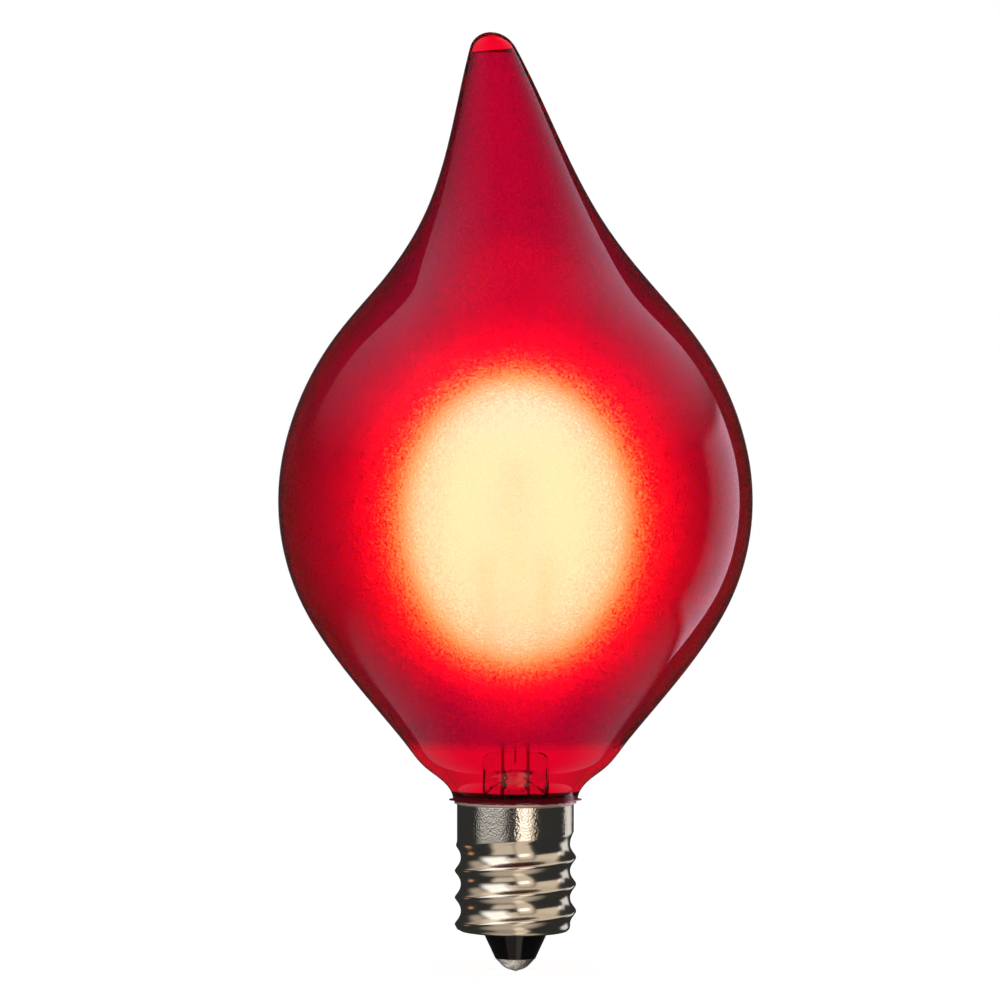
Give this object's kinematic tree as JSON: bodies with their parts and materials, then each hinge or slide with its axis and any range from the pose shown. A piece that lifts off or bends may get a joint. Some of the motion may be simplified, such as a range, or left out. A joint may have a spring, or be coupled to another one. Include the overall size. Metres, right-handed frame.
{
  "type": "flame tip bulb",
  "caption": "Red flame tip light bulb with a drawn, leaning point, frosted inside and clear at the neck, on a candelabra screw base with a black insulator and centre contact.",
  "frame": {"origin": "on the lamp's axis, at the foot of the centre contact", "axes": "+Z along the lamp from the centre contact to the tip, the tip leans towards -X, and -Y faces the viewer"},
  "size_m": [0.045, 0.045, 0.0892],
  "materials": {
    "red_glass": "blown red glass, smooth outside, frosted inside",
    "stem_glass": "clear glass",
    "lead_wire": "drawn nickel wire",
    "support_wire": "drawn molybdenum wire",
    "filament": "coiled tungsten",
    "screw_shell": "rolled sheet, nickel plated, slightly worn",
    "insulator": "glossy black vitrite",
    "contact": "pressed eyelet, nickel plated",
    "solder": "rough cast solder",
    "cement": "matt basing cement",
    "lacquer": "dark red lacquer"
  },
  "bodies": {
    "root": {"glass_envelope": "red_glass", "stem": "stem_glass", "exhaust_tube": "stem_glass", "contact_lead": "lead_wire", "shell_lead": "lead_wire", "support_wire": "support_wire", "filament": "filament", "screw_shell": "screw_shell", "insulator": "insulator", "contact_button": "contact", "contact_solder": "solder", "rim_solder": "solder", "basing_cement": "cement", "lacquer_ring": "lacquer"}
  },
  "joints": []
}
